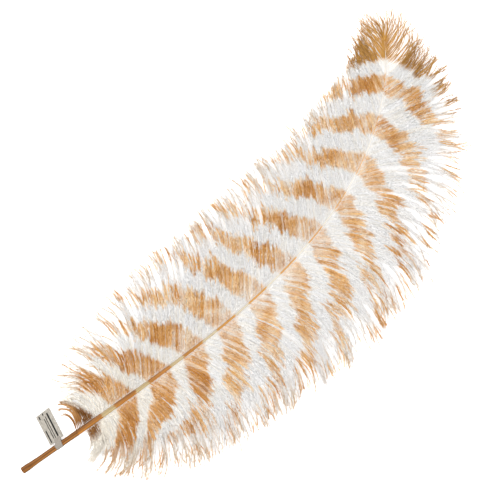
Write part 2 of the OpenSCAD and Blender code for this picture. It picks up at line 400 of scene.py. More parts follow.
def barb_material():
    """White barbs with dyed bands. dye is the distance along the plume in mm, swept with the bands."""
    material, tree, shader = new_material("barbs_banded", 0.7, Specular_IOR_Level=0.0)
    n = Nodes(tree)
    dye, off, strand, patch, faint = (n.attribute(k) for k in ("dye", "off", "strand", "patch", "faint"))
    distance, half = nearest_band(n, dye)
    half = n.math("MULTIPLY", half, n.ramp(off, 15.0, 90.0, 1.0, 0.72))
    edge = n.math("SUBTRACT", half, distance)
    band = n.ramp(edge, -2.2, 2.2)
    bare = n.math("MULTIPLY", n.ramp(dye, 105.0, 99.0), n.ramp(off, 45.0, 36.0))
    band = n.math("MULTIPLY", band, n.math("SUBTRACT", 1.0, bare))
    tip = n.ramp(dye, GOLD_TIP - 3.0, GOLD_TIP + 3.0)
    band = n.math("MAXIMUM", band, tip)
    faint = n.math("MULTIPLY", faint, n.math("SUBTRACT", 1.0, tip))
    strength = n.math("MULTIPLY", band, n.math("SUBTRACT", 1.0, faint))
    # Whites: each strand's own warm or cool tone, plus painted shade that warms them towards the dense base.
    cool = n.math("ADD", strand, n.ramp(dye, 80.0, 260.0, 0.8, 0.0))
    white = n.mix(n.ramp(cool, 0.2, 1.5), WHITE_COOL, WHITE_WARM)
    # Painted shade: the whites grey slightly away from the shaft, towards the margin.
    white = n.mix(n.ramp(off, 35.0, 100.0), white, WHITE_PAINTED_SHADE)
    white = n.mix(n.attribute("ends"), white, TAN)
    depth = n.math("ADD", strand, n.math("MULTIPLY", patch, 0.35))
    tone = n.mix(n.ramp(depth, 0.05, 0.6), CARAMEL_PALE, CARAMEL)
    tone = n.mix(n.ramp(depth, 0.6, 1.3), tone, CARAMEL_DEEP)
    tone = n.mix(n.math("MULTIPLY", tip, 0.85), tone, n.mix(n.ramp(strand, 0.1, 1.1), GOLD_DEEP, GOLD))
    tinted = n.mix(strength, white, tone)
    lighter = n.math("ADD", strand, n.ramp(off, 4.0, 34.0, -0.4, 0.5))
    brown = n.mix(n.ramp(lighter, 0.0, 1.2), DOWN_DARK, DOWN_LIGHT)
    tree.links.new(n.mix(n.attribute("down"), tinted, brown), shader.inputs["Base Color"])
    return material


def horn_material():
    """Brown horn of the barrel, streaked lengthwise, with a painted highlight down one side and painted shade
    along both edges and in the groove. around is the angle about the shaft, in turns.
    """
    material, tree, shader = new_material("quill_horn", 0.55, Specular_IOR_Level=0.08)
    n = Nodes(tree)
    around, inside = n.attribute("around"), n.attribute("inside")
    streak = n.noise(420.0, 4.0, (0.035, 1, 1))
    fine = n.noise(1100.0, 2.0, (0.02, 1, 1))
    tone = n.mix(n.ramp(streak, 0.35, 0.65), HORN_DARK, HORN)
    # Painted highlight: gold down the barrel's lit side.
    tone = n.mix(n.math("MULTIPLY", n.ramp(around, 0.25, 0.1), 0.55), tone, HORN_HIGHLIGHT)
    line = n.math("SINE", n.math("ADD", n.math("MULTIPLY", around, 44.0), n.math("MULTIPLY", streak, 5.0)))
    tone = n.mix(n.math("MULTIPLY", n.ramp(line, 0.1, 0.9), 0.6), tone, HORN_GREY)
    tone = n.mix(n.math("MULTIPLY", n.ramp(fine, 0.5, 0.6), 0.5), tone, HORN_GREY)
    # Painted shade along both edges of the barrel.
    tone = n.mix(n.math("MULTIPLY", n.ramp(around, 0.13, 0.06), 0.85), tone, HORN_SHADE)
    tone = n.mix(n.math("MULTIPLY", n.ramp(around, 0.34, 0.44), 0.8), tone, HORN_SHADE)
    # Painted shade in the groove.
    tone = n.mix(n.math("MULTIPLY", n.attribute("groove"), 0.3), tone, HORN_SHADE)
    tree.links.new(n.mix(inside, tone, HORN_INSIDE), shader.inputs["Base Color"])
    add_bump(n, tree, shader, streak, 0.25, 0.0001)
    return material


def rachis_material():
    """Cream shaft with brown stretches where the dyed bands cross it, a painted highlight down one side and
    painted shade along both edges.
    """
    material, tree, shader = new_material("quill_shaft", 0.55, Specular_IOR_Level=0.1)
    n = Nodes(tree)
    place, around = n.attribute("place"), n.attribute("around")
    distance, half = nearest_band(n, place)
    streak = n.noise(500.0, 4.0, (0.04, 1, 1))
    edge = n.math("ADD", n.math("SUBTRACT", half, distance), n.ramp(streak, 0.3, 0.7, -1.5, 1.5))
    band = n.math("MAXIMUM", n.ramp(edge, -0.6, 0.6), n.ramp(place, VANE_START + 1.0, VANE_START - 1.0))
    # side marks the lit side of the shaft, which gets a painted highlight.
    side = n.ramp(around, 0.3, 0.12)
    cream = n.mix(n.ramp(streak, 0.35, 0.7), CREAM, CREAM_DEEP)
    cream = n.mix(n.math("MULTIPLY", side, 0.75), cream, CREAM_HIGHLIGHT)
    cream = n.mix(n.ramp(place, 150.0, 380.0), cream, CREAM_FADED)
    cream = n.mix(n.ramp(place, 380.0, 460.0), cream, CREAM_END)
    brown = n.mix(n.ramp(streak, 0.3, 0.7), HORN_DARK, HORN)
    brown = n.mix(n.math("MULTIPLY", side, 0.8), brown, HORN_HIGHLIGHT)
    fine = n.noise(1300.0, 2.0, (0.02, 1, 1))
    brown = n.mix(n.math("MULTIPLY", n.ramp(fine, 0.5, 0.62), 0.35), brown, HORN_GREY)
    # Painted shade along one edge, stronger near the base, then along the other edge.
    shade = n.math("MULTIPLY", n.ramp(around, 0.34, 0.45), n.ramp(place, 100.0, 70.0, 0.3, 0.8))
    brown = n.mix(shade, brown, HORN_SHADE)
    brown = n.mix(n.math("MULTIPLY", n.ramp(around, 0.12, 0.05), 0.6), brown, HORN_SHADE)
    brown = n.mix(n.ramp(place, 140.0, 330.0), brown, HORN_FADED)
    brown = n.mix(n.ramp(place, 330.0, 470.0), brown, HORN_END)
    tree.links.new(n.mix(band, cream, brown), shader.inputs["Base Color"])
    add_bump(n, tree, shader, streak, 0.2, 0.0001)
    return material


def add_bump(n, tree, shader, height, strength, distance):
    bump = n.add("ShaderNodeBump", {"Strength": strength, "Distance": distance, "Height": height}, "Normal")
    tree.links.new(bump, shader.inputs["Normal"])


# Printed rules on the card: place across, half width, and where each starts and ends along the card.
RULES = [
    (0.16, 0.045, 0.05, 0.46), (0.40, 0.026, 0.12, 0.80), (0.52, 0.026, 0.08, 0.84),
    (0.70, 0.060, 0.10, 0.90), (0.17, 0.045, 0.84, 0.95), (0.44, 0.042, 0.90, 0.97),
]


def paper_material():
    """Fibrous label stock with plain rules on its upper face. across and tall go from 0 to 1 on the card."""
    material, tree, shader = new_material("label_paper", 0.85, Specular_IOR_Level=0.2)
    n = Nodes(tree)
    across, tall = n.attribute("across"), n.attribute("tall")
    fibre = n.noise(900.0, 5.0, (1, 0.35, 1))
    thread = n.noise(2600.0, 2.0, (0.4, 1, 1))
    tone = n.mix(n.ramp(fibre, 0.3, 0.7), PAPER, PAPER_PALE)
    tone = n.mix(n.math("MULTIPLY", n.ramp(thread, 0.58, 0.75), 0.6), tone, PAPER_FLECK)
    worn = n.ramp(n.noise(1400.0, 3.0), 0.3, 0.5, 0.93, 1.0)
    ink = None
    for place, half, low, high in RULES:
        line = n.ramp(n.math("ABSOLUTE", n.math("SUBTRACT", across, place)), half, half * 0.7)
        line = n.math("MULTIPLY", line, n.ramp(tall, low - 0.01, low + 0.01))
        line = n.math("MULTIPLY", line, n.ramp(tall, high + 0.01, high - 0.01))
        ink = line if ink is None else n.math("MAXIMUM", ink, line)
    ink = n.math("MULTIPLY", ink, n.math("MULTIPLY", worn, n.ramp(n.attribute("upper"), 0.5, 0.9)))
    tree.links.new(n.mix(ink, tone, PRINT), shader.inputs["Base Color"])
    add_bump(n, tree, shader, fibre, 0.35, 0.0002)
    return material


def strap_material():
    material, tree, shader = new_material("label_strap", 0.7, Specular_IOR_Level=0.25)
    n = Nodes(tree)
    fibre = n.noise(1300.0, 4.0, (0.3, 1, 1))
    tree.links.new(n.mix(n.ramp(fibre, 0.3, 0.7), STRAP, STRAP_PALE), shader.inputs["Base Color"])
    add_bump(n, tree, shader, fibre, 0.3, 0.00015)
    return material


def plain_material(name, tone, other, roughness, scale):
    """A matte material that varies softly between two tones."""
    material, tree, shader = new_material(name, roughness)
    n = Nodes(tree)
    cells = n.noise(scale, 4.0)
    tree.links.new(n.mix(n.ramp(cells, 0.35, 0.65), tone, other), shader.inputs["Base Color"])
    add_bump(n, tree, shader, cells, 0.3, 0.0001)
    return material


# ---- Barbs ----

def barb_curves(side, roots, seed):
    """Barbs as curves, (barb, point, xyz) in millimetres, with clumped, wavy and layered strands."""
    local = np.random.default_rng(seed)
    count = len(roots)
    u = np.linspace(0, 1, BARB_POINTS + 1)
    mid = (u[1:] + u[:-1]) / 2
    group = 1000 + side
    rows = BARBS[side]
    uneven = 1 + LENGTH_WANDER * wander(roots, 8, group) + local.normal(0, LENGTH_SPREAD, count)
    length = table(rows, roots, 1) * uneven
    strand = (roots < TUFT_STRANDS) & (side == LEFT)
    short = (local.random(count) < SHORT_SHARE) & (roots < VANE_START) & ~strand
    length = np.where(short, length * SHORT_LENGTH, length)
    fluff = 1 - smooth(roots, 100, 165)
    cropped = (local.random(count) < CROPPED_SHARE * fluff) & (roots >= VANE_START)
    length = np.where(cropped, length * local.uniform(*CROPPED_LENGTH, count), length)
    stray = local.random(count) < STRAY_SHARE
    length = np.where(stray, length * local.uniform(*STRAY_STRETCH, count), length)
    near_tip = smooth(roots, 510, 565)
    thin = np.where(stray, 0.7, 0.0) + 0.4 * (roots < TUFT_STRANDS) + 0.5 * strand + 0.66 * near_tip
    first, last = table(rows, roots, 2), table(rows, roots, 3)
    late = table(rows, roots, 4)
    if strand.any():
        length[strand] = table(STRANDS, roots[strand], 1)
        first[strand], last[strand] = table(STRANDS, roots[strand], 2), table(STRANDS, roots[strand], 3)
        late[strand] = table(STRANDS, roots[strand], 4)
    start = first + 1.5 * wander(roots, 9, group + 10) + local.normal(0, 0.9, count)
    end = last + 7 * wander(roots, 12, group + 20) + local.normal(0, 1, count) * (7 + 9 * near_tip)
    end = end + cropped * local.uniform(5, 40, count)
    wave = local.uniform(0, 1, count)[:, None]
    curl = np.where(stray, STRAY_CURL, CURL + TIP_CURL * near_tip)[:, None]
    bend = start[:, None] + (end - start)[:, None] * mid ** late[:, None]
    bend = bend + curl * np.sin(2 * np.pi * (CURL_WAVES * mid + wave)) * mid ** 1.5
    ripple = local.uniform(0, 1, count)[:, None]
    fine = np.sin(2 * np.pi * (length[:, None] / RIPPLE_PITCH * mid + ripple))
    bend = bend + RIPPLE * fine * smooth(mid, 0.15, 0.75)
    angle = heading(roots)[:, None] + side * np.radians(bend)
    step = (length / BARB_POINTS)[:, None, None] * np.stack([np.cos(angle), np.sin(angle)], -1)
    half_w = table(RACHIS_HALF_W, roots)
    side_dir = np.stack([-np.sin(heading(roots)), np.cos(heading(roots))], -1)
    root = spine(roots) + side * side_dir * (half_w * 0.8)[:, None]
    flat = np.concatenate([root[:, None], root[:, None] + np.cumsum(step, 1)], 1)
    half_h = table(RACHIS_HALF_H, roots)
    rise = VANE_ARCH * 4 * u * (1 - u) - END_SINK * u ** 2
    z = (local.uniform(0.35, 0.95, count) * half_h)[:, None] * (1 - u) ** 2 + rise
    curves = np.concatenate([flat, z[..., None]], -1)
    lift = np.sin(np.pi * u ** 0.7)
    hold = 1 - 0.85 * near_tip
    for size, pull, low, high, height in CLUMPS:
        curves = gather(curves, u, local, size, pull, low, high, height * lift, hold)
    curves[..., 2] = curves[..., 2] + local.normal(0, BARB_LIFT, count)[:, None] * lift
    curves = bundle(curves, u, roots, strand)
    curves[..., 2] = np.maximum(curves[..., 2], BARB_GROUND)
    return curves, length, np.minimum(thin, 0.9)


def bundle(curves, u, roots, strand):
    """Lays the tuft's barbs that share a root together as one strand with a frayed end."""
    for root in np.unique(roots[strand]):
        members = np.flatnonzero(roots == root)
        apart = (curves[members] - curves[members[:1]]) * (0.07 + 0.3 * smooth(u, 0.75, 1.0))[:, None]
        spread = (np.arange(len(members)) - (len(members) - 1) / 2) * TUFT_GAP
        apart[..., 0] += spread[:, None] * smooth(u, 0.0, 0.3)
        curves[members] = curves[members[:1]] + apart
    return curves


def gather(curves, u, local, size, pull, low, high, lift, hold):
    """Draws barbs together in groups of about size, from low to high along them, and lifts each group."""
    count = len(curves)
    cuts = np.cumsum(local.integers(max(2, size // 2), size * 3 // 2 + 1, count))
    group = np.searchsorted(cuts, np.arange(count), side="right")
    gathered = curves.copy()
    weight = (smooth(u, low, high) * (1 - 0.35 * smooth(u, 0.7, 1.0)))[None]
    weight = (hold * local.uniform(*pull, count))[:, None] * weight
    for g in np.unique(group):
        members = group == g
        centre = curves[members].mean(0, keepdims=True)
        gathered[members] = curves[members] + (centre - curves[members]) * weight[members][..., None]
        gathered[members, :, 2] += local.normal(0, 1) * lift
    return gathered


def tubes(curves, radius):
    """Three-sided closed tubes along curves. radius is (barb, point). Returns points and triangles."""
    count, rings, _ = curves.shape
    ahead = np.gradient(curves, axis=1)
    ahead /= np.linalg.norm(ahead, axis=-1, keepdims=True) + 1e-9
    across = np.cross(ahead, [0, 0, 1.0])
    across /= np.linalg.norm(across, axis=-1, keepdims=True) + 1e-9
    up = np.cross(across, ahead)
    turn = 2 * np.pi * np.arange(3) / 3 + np.pi / 2
    ring = across[:, :, None] * np.cos(turn)[:, None] + up[:, :, None] * np.sin(turn)[:, None]
    points = curves[:, :, None] + ring * radius[:, :, None, None]
    one = grid_triangles(rings, 3, True)
    last = (rings - 1) * 3
    one = np.concatenate([one, [[0, 2, 1]], [[last, last + 1, last + 2]]])
    offset = (np.arange(count) * rings * 3)[:, None, None]
    return points.reshape(-1, 3), (one[None] + offset).reshape(-1, 3)


# A barbule's four faces over its points: root, one edge, other edge, end.
LEAF = np.array([[0, 1, 2], [3, 2, 1], [0, 3, 1], [0, 2, 3]])


def sample(curves, index, u):
    """Points and directions on curves[index] at u from 0 to 1."""
    t = u * (curves.shape[1] - 1)
    k = np.minimum(t.astype(int), curves.shape[1] - 2)
    f = (t - k)[:, None]
    a, b = curves[index, k], curves[index, k + 1]
    ahead = b - a
    return a + (b - a) * f, ahead / (np.linalg.norm(ahead, axis=1, keepdims=True) + 1e-9)


def barbules(curves, length, thin, local):
    """Thin bent leaves on both sides of each barb: points, triangles, barb, place, reach and looseness."""
    per_mm = min(BARBULES_PER_MM, BARBULES_AT_MOST / length.sum())
    index = np.repeat(np.arange(len(curves)), np.maximum((length * per_mm).astype(int), 4))
    count = len(index)
    u = 0.01 + 0.975 * local.uniform(0, 1, count) ** BARBULE_CROWDING
    base, ahead = sample(curves, index, u)
    across = np.cross(ahead, [0, 0, 1.0])
    across /= np.linalg.norm(across, axis=1, keepdims=True) + 1e-9
    up = np.cross(across, ahead)
    side = np.where(local.random(count) < 0.5, 1.0, -1.0)
    roll = local.normal(0, BARBULE_ROLL, count)
    out = across * (side * np.cos(roll))[:, None] + up * np.sin(roll)[:, None]
    bare = smooth(u, 0.5, 0.92)
    loose = local.random(count) < 0.14 + 0.24 * smooth(u, 0.3, 0.65) - 0.13 * bare
    wide, close = local.normal(*LOOSE_ANGLE, count), local.normal(*CLOSE_ANGLE, count)
    spread = np.where(loose, wide, close * (1 - 0.35 * bare))
    spread = np.radians(spread) * (1 + 0.8 * (1 - smooth(u, 0, 0.15)))
    reach = (BARBULE_REACH + MORE_REACH * np.sin(np.pi * u ** 0.7)) * (1 - 0.2 * bare)
    reach = reach * local.uniform(*REACH_SPREAD, count)
    bare_from = np.where(thin[index] > 0.6, -0.3, 0.2)
    reach = reach * np.where(loose, 0.8, 1.0) * (1 - thin[index] * smooth(u, bare_from, bare_from + 0.5))
    direction = ahead * np.cos(spread)[:, None] + out * np.sin(spread)[:, None]
    later = ahead * np.cos(spread * 0.35)[:, None] + out * np.sin(spread * 0.35)[:, None]
    middle = base + direction * (reach * 0.5)[:, None]
    tip = middle + later * (reach * 0.5)[:, None]
    tip[:, 2] -= local.uniform(0, 0.5, count)
    thick = local.uniform(*BARBULE_HALF_THICK, count)
    normal = np.cross(direction, out)
    normal *= np.sign(normal[:, 2:]) / (np.linalg.norm(normal, axis=1, keepdims=True) + 1e-9)
    flat = np.cross(normal, direction)
    ridge = middle + normal * (thick * 0.7)[:, None]
    one, other = ridge - flat * thick[:, None], ridge + flat * thick[:, None]
    points = np.stack([base, one, other, tip], 1)
    points[..., 2] = np.maximum(points[..., 2], BARBULE_GROUND)
    triangles = LEAF[None] + (np.arange(count) * 4)[:, None, None]
    return points.reshape(-1, 3), triangles.reshape(-1, 3), index, u, reach, loose


def dye_values(points, side, guess):
    """The dye's distance along the plume and each point's distance off the shaft."""
    s, off = shaft_place(points[:, :2], guess)
    off = np.abs(off)
    if side == LEFT:
        base = 1 - smooth(s, 150, 270)
        sweep = (0.2 + 0.16 * base) * off + (0.0037 + 0.0018 * base) * off ** 2
    else:
        base = 0.01 * (1 - smooth(s, 140, 175)) + 0.011 * (1 - smooth(s, 70, 100))
        sweep = 0.3 * off + (0.0036 + base) * off ** 2
    return s + sweep, off, s


def dye_marks(side, points, roots, barb, along, index, loose, local):
    """What the barb material needs at each point: the dye's place, its tones, and how far they fade."""
    count = len(roots)
    tube_count = len(points) - 4 * len(index)
    dye, off, s = dye_values(points, side, roots[barb])
    group = wander(roots, 6, 400 + side)[barb] + 0.5 * local.normal(0, 1.0, count)[barb]
    dye = dye + group * (1.2 + 0.1 * off)
    strand = (TONE_MIDDLE + TONE_SPREAD * local.normal(0, 1, count))[barb]
    leaf_tone = local.normal(0, LEAF_SPREAD, len(index)) - LOOSE_LOWER * loose
    leaf_tone = np.concatenate([np.full(tube_count, TUBE_HIGHER), np.repeat(leaf_tone, 4)])
    right_tuft = (side == RIGHT) * (roots[barb] < VANE_START)
    strand = np.clip(strand + leaf_tone + TUFT_HIGHER * right_tuft, 0, 1)
    spot = np.exp(-((off - SPOT_OFF) / SPOT_WIDTH) ** 2)
    spot = spot * np.maximum(0.5 + wander(dye, SPOT_PITCH, 700 + side), 0)
    patch = 0.6 * wander(s + 1.5 * off, 11, 500 + side) + SPOT_DEPTH[side] * spot - 0.2
    patch = patch + 0.35 * wander(roots, 5, 600 + side)[barb]
    patch = patch + 0.9 * (1 - smooth(s, 130, 230)) + 0.4 * smooth(off, 50, 90)
    if side == LEFT:
        strength, at, away, long, wide = TIP_SPOT
        patch = patch + strength * np.exp(-((dye - at) / long) ** 2 - ((off - away) / wide) ** 2)
    faint = 0.1 + 0.3 * smooth(s, 120, 260) * (1 - 0.8 * smooth(s, 390, 450))
    faint = faint * (1 - smooth(off, 8, 26)) - 0.25 * np.minimum(patch, 0.8)
    faint = faint + MARGIN_FADE[side] * smooth(off, 45, 105)
    pale = local.random(count) < PALE_SHARE
    faint = faint + (0.22 + 0.35 * smooth(off, 40, 70)) * local.normal(0, 1, count)[barb]
    fade_from = 34 + 0.75 * (s - 100) if side == LEFT else 28 + 0.4 * (s - 100)
    fade_from = np.maximum(fade_from, 24)
    fade = BASE_FADE[side] * (1 - smooth(s, 150, 240))
    faint = faint + fade * smooth(off + 2 * group, fade_from, fade_from + 16)
    faint = np.clip(faint + 0.5 * pale[barb], 0, FAINT_MOST)
    down = 1 - smooth(off + 2.5 * group, DOWN_REACH[side] - 6, DOWN_REACH[side] + 3)
    down = (1 - smooth(dye, 90, 95)) * down
    low = 1 - smooth(s, 130, 220)
    ends_from = 0.68 - (0.2 * low if side == RIGHT else 0)
    ends = local.normal(0.26, 0.35, count)[barb] + END_TAN[side] * low
    ends = smooth(along, ends_from, 1.0) * np.clip(ends, 0, 0.9) * smooth(off, 25, 50)
    return {
        "dye": dye, "off": off, "strand": strand, "patch": patch, "faint": faint, "down": down, "ends": ends,
    }


def make_barbs(name, side, roots, material, seed, grown=None):
    """One piece: the barbs at roots on one side, and their barbules. grown has curves, lengths, thinness."""
    local = np.random.default_rng(seed)
    curves, length, thin = grown or barb_curves(side, roots, seed)
    count, rings, _ = curves.shape
    u = np.linspace(0, 1, rings)
    taper = np.where(thin > 0.85, 0.2, 0.6)[:, None]
    radius = (BARB_R + BARB_EXTRA_R * (thin > 0.6))[:, None] * (1 - taper * u) + BARB_END_R
    tube_points, tube_faces = tubes(curves, radius)
    leaf_points, leaf_faces, index, where, reach, loose = barbules(curves, length, thin, local)
    points = np.concatenate([tube_points, leaf_points])
    faces = np.concatenate([tube_faces, leaf_faces + len(tube_points)])
    barb = np.concatenate([np.repeat(np.arange(count), rings * 3), np.repeat(index, 4)])
    shares = np.array([0, 0.5, 0.5, 1.0])
    along = where[:, None] + shares * (reach / length[index])[:, None]
    along = np.concatenate([np.tile(np.repeat(u, 3), count), along.ravel()])
    values = dye_marks(side, points, roots, barb, along, index, loose, local)
    tube_strip, leaf_strip = [0.1, 0.5, 0.9], [0.5, 0.2, 0.8, 0.5]
    strip = np.concatenate([np.tile(tube_strip, count * rings), np.tile(leaf_strip, len(index))])
    uv = np.stack([0.02 + 0.96 * np.clip(along, 0, 1), (barb + strip) / count], -1)
    return make_piece(name, points, faces, material, values, uv)


def barb_roots(side, start, end):
    """Places along the shaft where barbs grow, so that neighbours lie about BARB_SPACING apart."""
    s = np.linspace(start, end, 200)
    spacing = BARB_SPACING * (1 + 0.35 * smooth(s, 520, 575))
    angle = np.maximum(table(BARBS[side], s, 2), 14 + 44 * smooth(s, 500, 560))
    per_mm = np.sin(np.radians(angle)) / spacing
    passed = np.concatenate([[0], np.cumsum((per_mm[1:] + per_mm[:-1]) / 2 * np.diff(s))])
    count = int(passed[-1])
    return np.interp((np.arange(count) + 0.5) * passed[-1] / count, passed, s)


def vane(material):
    pieces = {}
    for side, word in ((LEFT, "left"), (RIGHT, "right")):
        for i in range(LOCK_COUNT + 1):
            start = VANE_START + (i - 1) * LOCK_PITCH if i else TUFT_START[side]
            end = start + LOCK_PITCH if i else VANE_START
            roots = barb_roots(side, start, end)
            if not i and side == LEFT:
                strands = np.repeat([s[0] for s in STRANDS], TUFT_BARBS)
                roots = np.concatenate([strands, roots[roots > TUFT_STRANDS]])
            node = f"{word}_barbs_{i:02d}" if i else f"{word}_tuft"
            pieces[node] = make_barbs(node + "_plume", side, roots, material, 10 * i + (side > 0) + 50)
    for node, piece in pieces.items():
        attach(piece, "feather")
        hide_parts(node)


def tip_fan(material):
    """The barbs that go on past the end of the shaft."""
    count = TIP_BARBS
    side = LEFT
    local = np.random.default_rng(91)
    v = (np.arange(count) + 0.5) / count
    last_left, last_right = BARBS[LEFT][-1], BARBS[RIGHT][-1]
    start = last_left[2] * (1 - v) - last_right[2] * v + local.normal(0, 3, count)
    end = last_left[3] * (1 - v) - last_right[3] * v + local.normal(0, 7, count)
    length = (last_left[1] * (1 - v) + last_right[1] * v) * local.uniform(0.7, 1.12, count)
    u = np.linspace(0, 1, BARB_POINTS + 1)
    mid = (u[1:] + u[:-1]) / 2
    bend = start[:, None] + (end - start)[:, None] * mid
    bend = bend + 26 * np.sin(2 * np.pi * (mid + local.uniform(0, 1, count)[:, None])) * mid
    angle = heading(SHAFT_LEN) + np.radians(bend)
    step = (length / BARB_POINTS)[:, None, None] * np.stack([np.cos(angle), np.sin(angle)], -1)
    root = spine(SHAFT_LEN - 1.5 * local.random(count))
    flat = np.concatenate([root[:, None], root[:, None] + np.cumsum(step, 1)], 1)
    z = local.normal(0, 1.2, count)[:, None] * np.sin(np.pi * u * 0.7) + 1.2 * u - 2.4 * u ** 2
    curves = np.concatenate([flat, z[..., None]], -1)
    roots = np.full(count, SHAFT_LEN)
    curves[..., 2] = np.maximum(curves[..., 2], BARB_GROUND)
    piece = make_barbs("tip_barbs_plume", side, roots, material, 92, (curves, length, np.full(count, 0.66)))
    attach(piece, "feather")
    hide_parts("tip_barbs")


# ---- Shaft pieces ----

# Outer radius of the barrel along the stem.
BARREL_PROFILE = [
    (0, 3.4), (0.5, CUT_END_R), (6, CUT_END_R), (8, 3.375), (12, 3.125), (16, 3.0), (20, 2.865), (57, 2.865),
    (62, 3.0), (67, 3.0),
]
HOLLOW_R = 2.0
HOLLOW_LEN = 40.0
HOLLOW_END = 58.0
GROOVE_WIDTH = 0.34
GROOVE_DEPTH = 0.3


def groove(turn):
    """How deep in the groove a point is, from its angle about the shaft, 0 to 1. The groove faces up."""
    return np.exp(-((turn - 0.25) / 0.045) ** 2)


def barrel(material):
    """The bare hollow barrel: grooved outside, cut square, with the open hollow inside."""
    columns = 96
    turn = np.arange(columns) / columns
    angle = 2 * np.pi * turn
    narrow_r = 1.8
    local = np.random.default_rng(21)
    ridge = local.normal(0, 1, columns)
    ridge = 0.02 * (ridge + np.roll(ridge, 1))
    outer_x = np.concatenate([[0, 0.15, 0.5], np.linspace(1, BARREL_LEN, 150)])
    inner_x = np.concatenate([np.linspace(HOLLOW_END, HOLLOW_LEN, 6), np.linspace(HOLLOW_LEN - 0.2, 0.1, 30)])
    rows, marks = [], []
    for x in inner_x:
        radius = HOLLOW_R if x < HOLLOW_LEN else narrow_r
        rows.append((np.full(columns, x), np.full(columns, radius)))
        marks.append((x, 1.0))
    frayed = 0.05 * local.normal(0, 1, columns)
    for i, x in enumerate(outer_x):
        radius = table(BARREL_PROFILE, x) - (0.12 if i == 0 else 0)
        fade = smooth(x, 4, 18)
        r = radius * (1 - GROOVE_DEPTH / 3 * groove(turn) * fade) + ridge * (0.35 + 0.65 * (1 - fade))
        rows.append((np.full(columns, x) + (np.abs(frayed) if i < 2 else 0), r))
        marks.append((x, 0.0))
    points = np.concatenate([np.stack([x, r * np.cos(angle), r * np.sin(angle)], 1) for x, r in rows])
    faces = grid_triangles(len(rows), columns, True)[:, ::-1]
    last = (len(rows) - 1) * columns
    caps = [fan_triangles(np.arange(columns), True), fan_triangles(np.arange(columns) + last)]
    faces = np.concatenate([faces] + caps)
    deep = np.repeat([m[1] for m in marks], columns)
    around = np.tile(np.abs(turn - 0.5), len(rows))
    grooved = np.repeat([smooth(m[0], 4, 18) * (1 - m[1]) for m in marks], columns)
    values = {"around": around, "inside": deep, "groove": grooved * np.tile(groove(turn), len(rows))}
    piece = make_piece("barrel_horn", points, faces, material, values)
    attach(piece, "feather")
    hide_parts("calamus")


def shaft(material):
    """The rachis: a boxy grooved section that tapers along the curve."""
    columns, rows = 32, 420
    s = np.linspace(BARREL_LEN - 0.2, SHAFT_LEN, rows)
    turn = np.arange(columns) / columns
    c, d = np.cos(2 * np.pi * turn), np.sin(2 * np.pi * turn)
    boxy = 1 - 0.35 * smooth(s, 70, 100)
    across = np.sign(c) * np.abs(c) ** boxy[:, None]
    high = np.sign(d) * np.abs(d) ** boxy[:, None]
    half_w, half_h = table(RACHIS_HALF_W, s), table(RACHIS_HALF_H, s)
    hollow = GROOVE_DEPTH * np.exp(-(across / GROOVE_WIDTH) ** 2) * (d > 0)
    centre = spine(s)
    out = np.stack([-np.sin(heading(s)), np.cos(heading(s))], -1)
    flat = centre[:, None] + out[:, None] * (across * half_w[:, None])[..., None]
    z = (high - hollow) * half_h[:, None]
    points = np.concatenate([flat, z[..., None]], -1).reshape(-1, 3)
    faces = grid_triangles(rows, columns, True)[:, ::-1]
    last = (rows - 1) * columns
    caps = [fan_triangles(np.arange(columns), True), fan_triangles(np.arange(columns) + last)]
    faces = np.concatenate([faces] + caps)
    values = {"place": np.repeat(s, columns), "around": np.tile(np.abs(turn - 0.5), rows)}
    piece = make_piece("shaft_horn", points, faces, material, values)
    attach(piece, "feather")
    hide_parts("rachis")


# ---- Label ----

CARD_SIZE = (16.4, 32.2)
CARD_THICK = 0.35
CARD_SKEW = 3.0
CARD_LEAN = 7.0
CARD_DROOP = 4.8
STRAP_THICK = 0.15
INNER_R = 3.01
LOOP_R = 3.22
TAIL_REACH = 6.0
TAIL_OVERLAP = 1.5
TAIL_SHIFT = 2.2
TAIL_NARROWING = 0.6


def band_strip(name, path, centre_x, width, thick, material, body, node):
    """A closed paper strip that follows a path of (y, z) points, with its middle and width along the stem."""
    path = np.asarray(path, float)
    columns = 9
    ahead = np.gradient(path, axis=0)
    ahead /= np.linalg.norm(ahead, axis=1, keepdims=True)
    normal = np.stack([-ahead[:, 1], ahead[:, 0]], 1)
    local = np.random.default_rng(len(path))
    ragged = 0.05 * local.normal(0, 1, (len(path), 2))
    low = centre_x - width / 2 + ragged[:, 0]
    high = centre_x + width / 2 + ragged[:, 1]
    share = np.linspace(0, 1, columns)
    x = low[:, None] + (high - low)[:, None] * share
    sheets = []
    for sign, order in ((1, slice(None)), (-1, slice(None, None, -1))):
        place = path[:, None] + normal[:, None] * (sign * thick / 2)
        place = np.repeat(place, columns, 1)
        sheets.append(np.concatenate([x[..., None], place], -1)[:, order])
    ring = np.concatenate(sheets, 1)
    size = ring.shape[1]
    points = ring.reshape(-1, 3)
    faces = grid_triangles(len(path), size, True)
    first = strip_cap(np.arange(size))
    last = strip_cap(np.arange(size) + (len(path) - 1) * size)[:, ::-1]
    piece = make_piece(name, points, np.concatenate([faces, first, last]), material)
    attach(piece, body)
    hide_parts(node)


def strip_cap(ring):
    """Triangles that close a flat ring which runs out along one side and back along the other."""
    half = len(ring) // 2
    a, b = ring[:half - 1], ring[1:half]
    c, d = ring[::-1][1:half], ring[::-1][:half - 1]
    return np.concatenate([np.stack([a, c, b], 1), np.stack([a, d, c], 1)])


def drooped(path):
    """A cross-section path turned about the stem by the label's droop."""
    c, s = math.cos(math.radians(CARD_DROOP)), math.sin(math.radians(CARD_DROOP))
    path = np.asarray(path, float)
    return np.stack([path[:, 0] * c + path[:, 1] * s, path[:, 1] * c - path[:, 0] * s], 1)


def circle_path(radius, from_angle, to_angle, count):
    """Points (y, z) on a circle about the stem, from one angle to another in degrees."""
    angles = np.radians(np.linspace(from_angle, to_angle, count))
    return [(radius * math.cos(a), radius * math.sin(a)) for a in angles]


